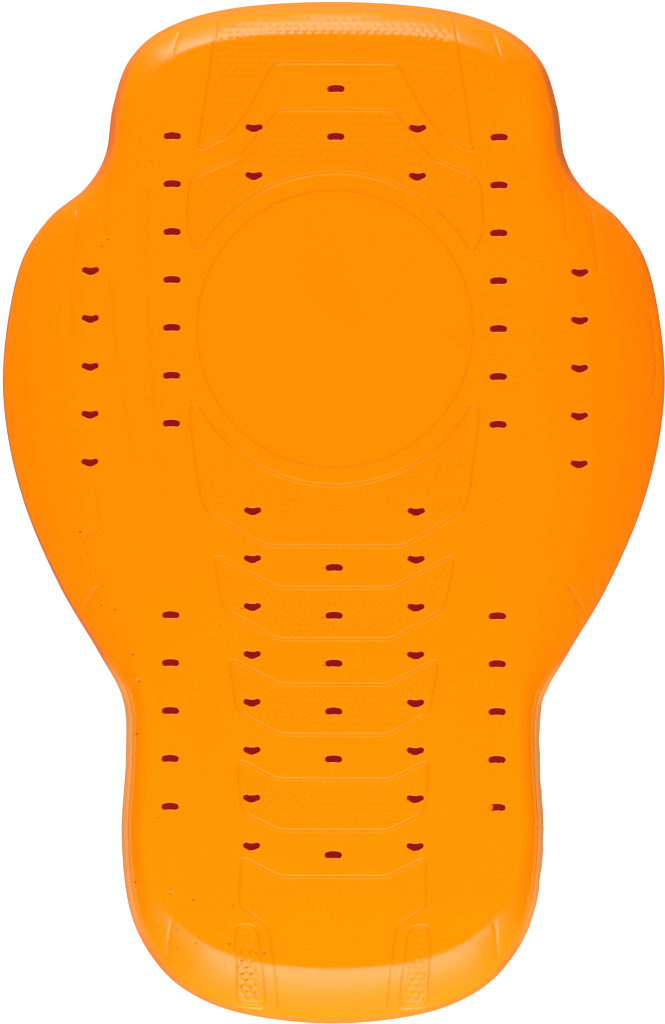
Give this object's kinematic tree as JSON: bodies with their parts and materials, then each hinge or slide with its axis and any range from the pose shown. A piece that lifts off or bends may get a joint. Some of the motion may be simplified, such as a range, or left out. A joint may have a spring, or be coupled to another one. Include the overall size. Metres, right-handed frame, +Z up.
{
  "type": "back protector insert",
  "caption": "Moulded soft foam back pad with shoulder wings, rows of air slots, grooved panels and a hollow back that takes the wearer's spine; it slides into a jacket's back pocket.",
  "frame": {"origin": "on the floor below the middle of the pad as it lies with its outer face up", "axes": "+X to the right as the outer face is seen, +Y to the neck end, +Z up out of the outer face"},
  "size_m": [0.2852, 0.44, 0.024],
  "materials": {
    "foam": "satin moulded foam skin"
  },
  "bodies": {
    "root": {"back_pad": "foam"}
  },
  "joints": []
}
